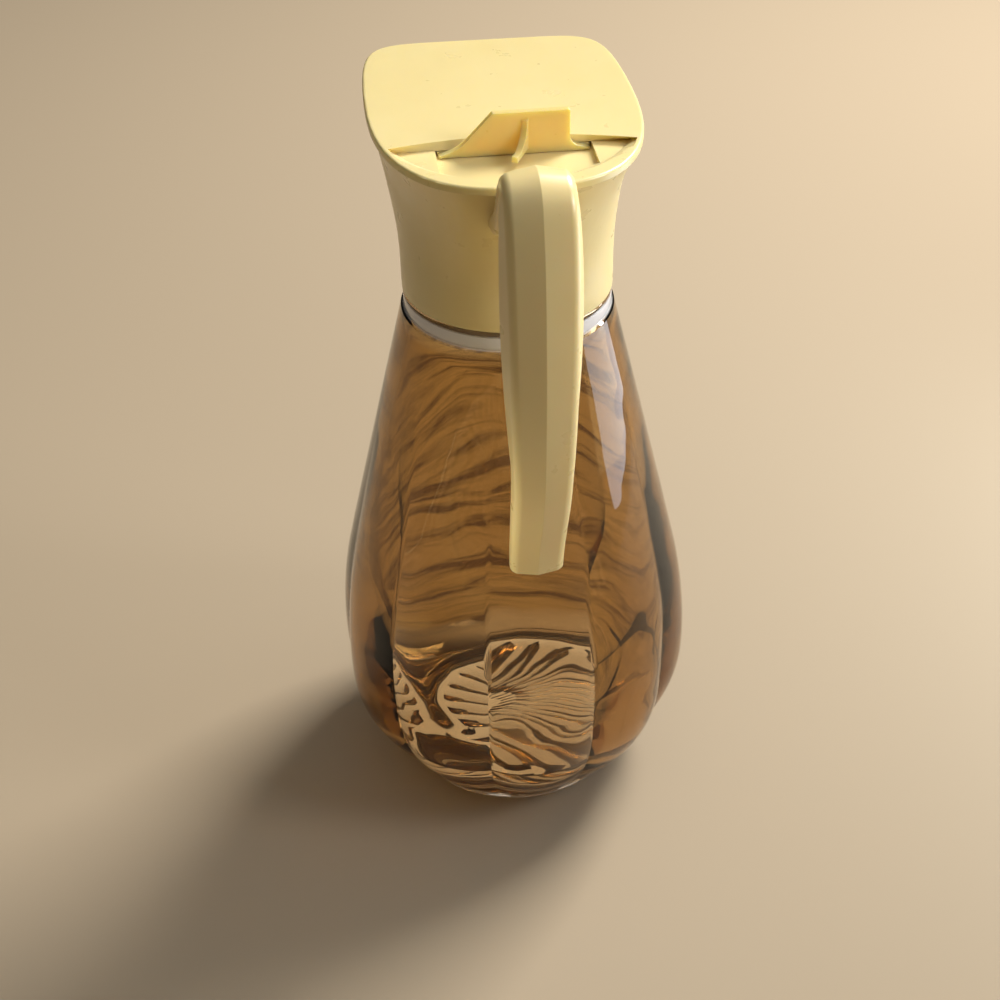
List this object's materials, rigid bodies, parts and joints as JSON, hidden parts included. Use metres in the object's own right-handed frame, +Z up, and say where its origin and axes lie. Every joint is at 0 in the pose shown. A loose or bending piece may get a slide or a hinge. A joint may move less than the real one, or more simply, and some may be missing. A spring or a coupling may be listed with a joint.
{
  "type": "syrup dispenser",
  "caption": "Clear pressed glass syrup jar with bulging panels, moulded collar with an open C handle, flat cover and a sliding gate drawn back by a thumb tab.",
  "frame": {"origin": "middle of the whole outline (jar and handle) at the table surface; the jar's axis is 7.7 mm from it towards +Y", "axes": "+Z up along the jar, +Y towards the pouring lip, -Y towards the handle, +X to the right as seen by someone who looks from the handle"},
  "size_m": [0.0834, 0.0997, 0.1793],
  "materials": {
    "glass": "clear pressed soda glass",
    "collar_plastic": "glossy pale yellow moulding",
    "cover_plastic": "glossy pale yellow moulding",
    "gate_plastic": "glossy pale yellow moulding"
  },
  "bodies": {
    "dispenser": {"glass_jar": "glass", "collar_and_handle": "collar_plastic", "cover": "cover_plastic"},
    "gate": {"gate": "gate_plastic"}
  },
  "joints": [
    {"name": "gate_slide", "type": "slide", "parent": "dispenser", "child": "gate", "axis": [0, -1, 0], "range_m": [0, 0.005], "stiffness_N_per_m": 300, "springref_m": -0.003}
  ]
}
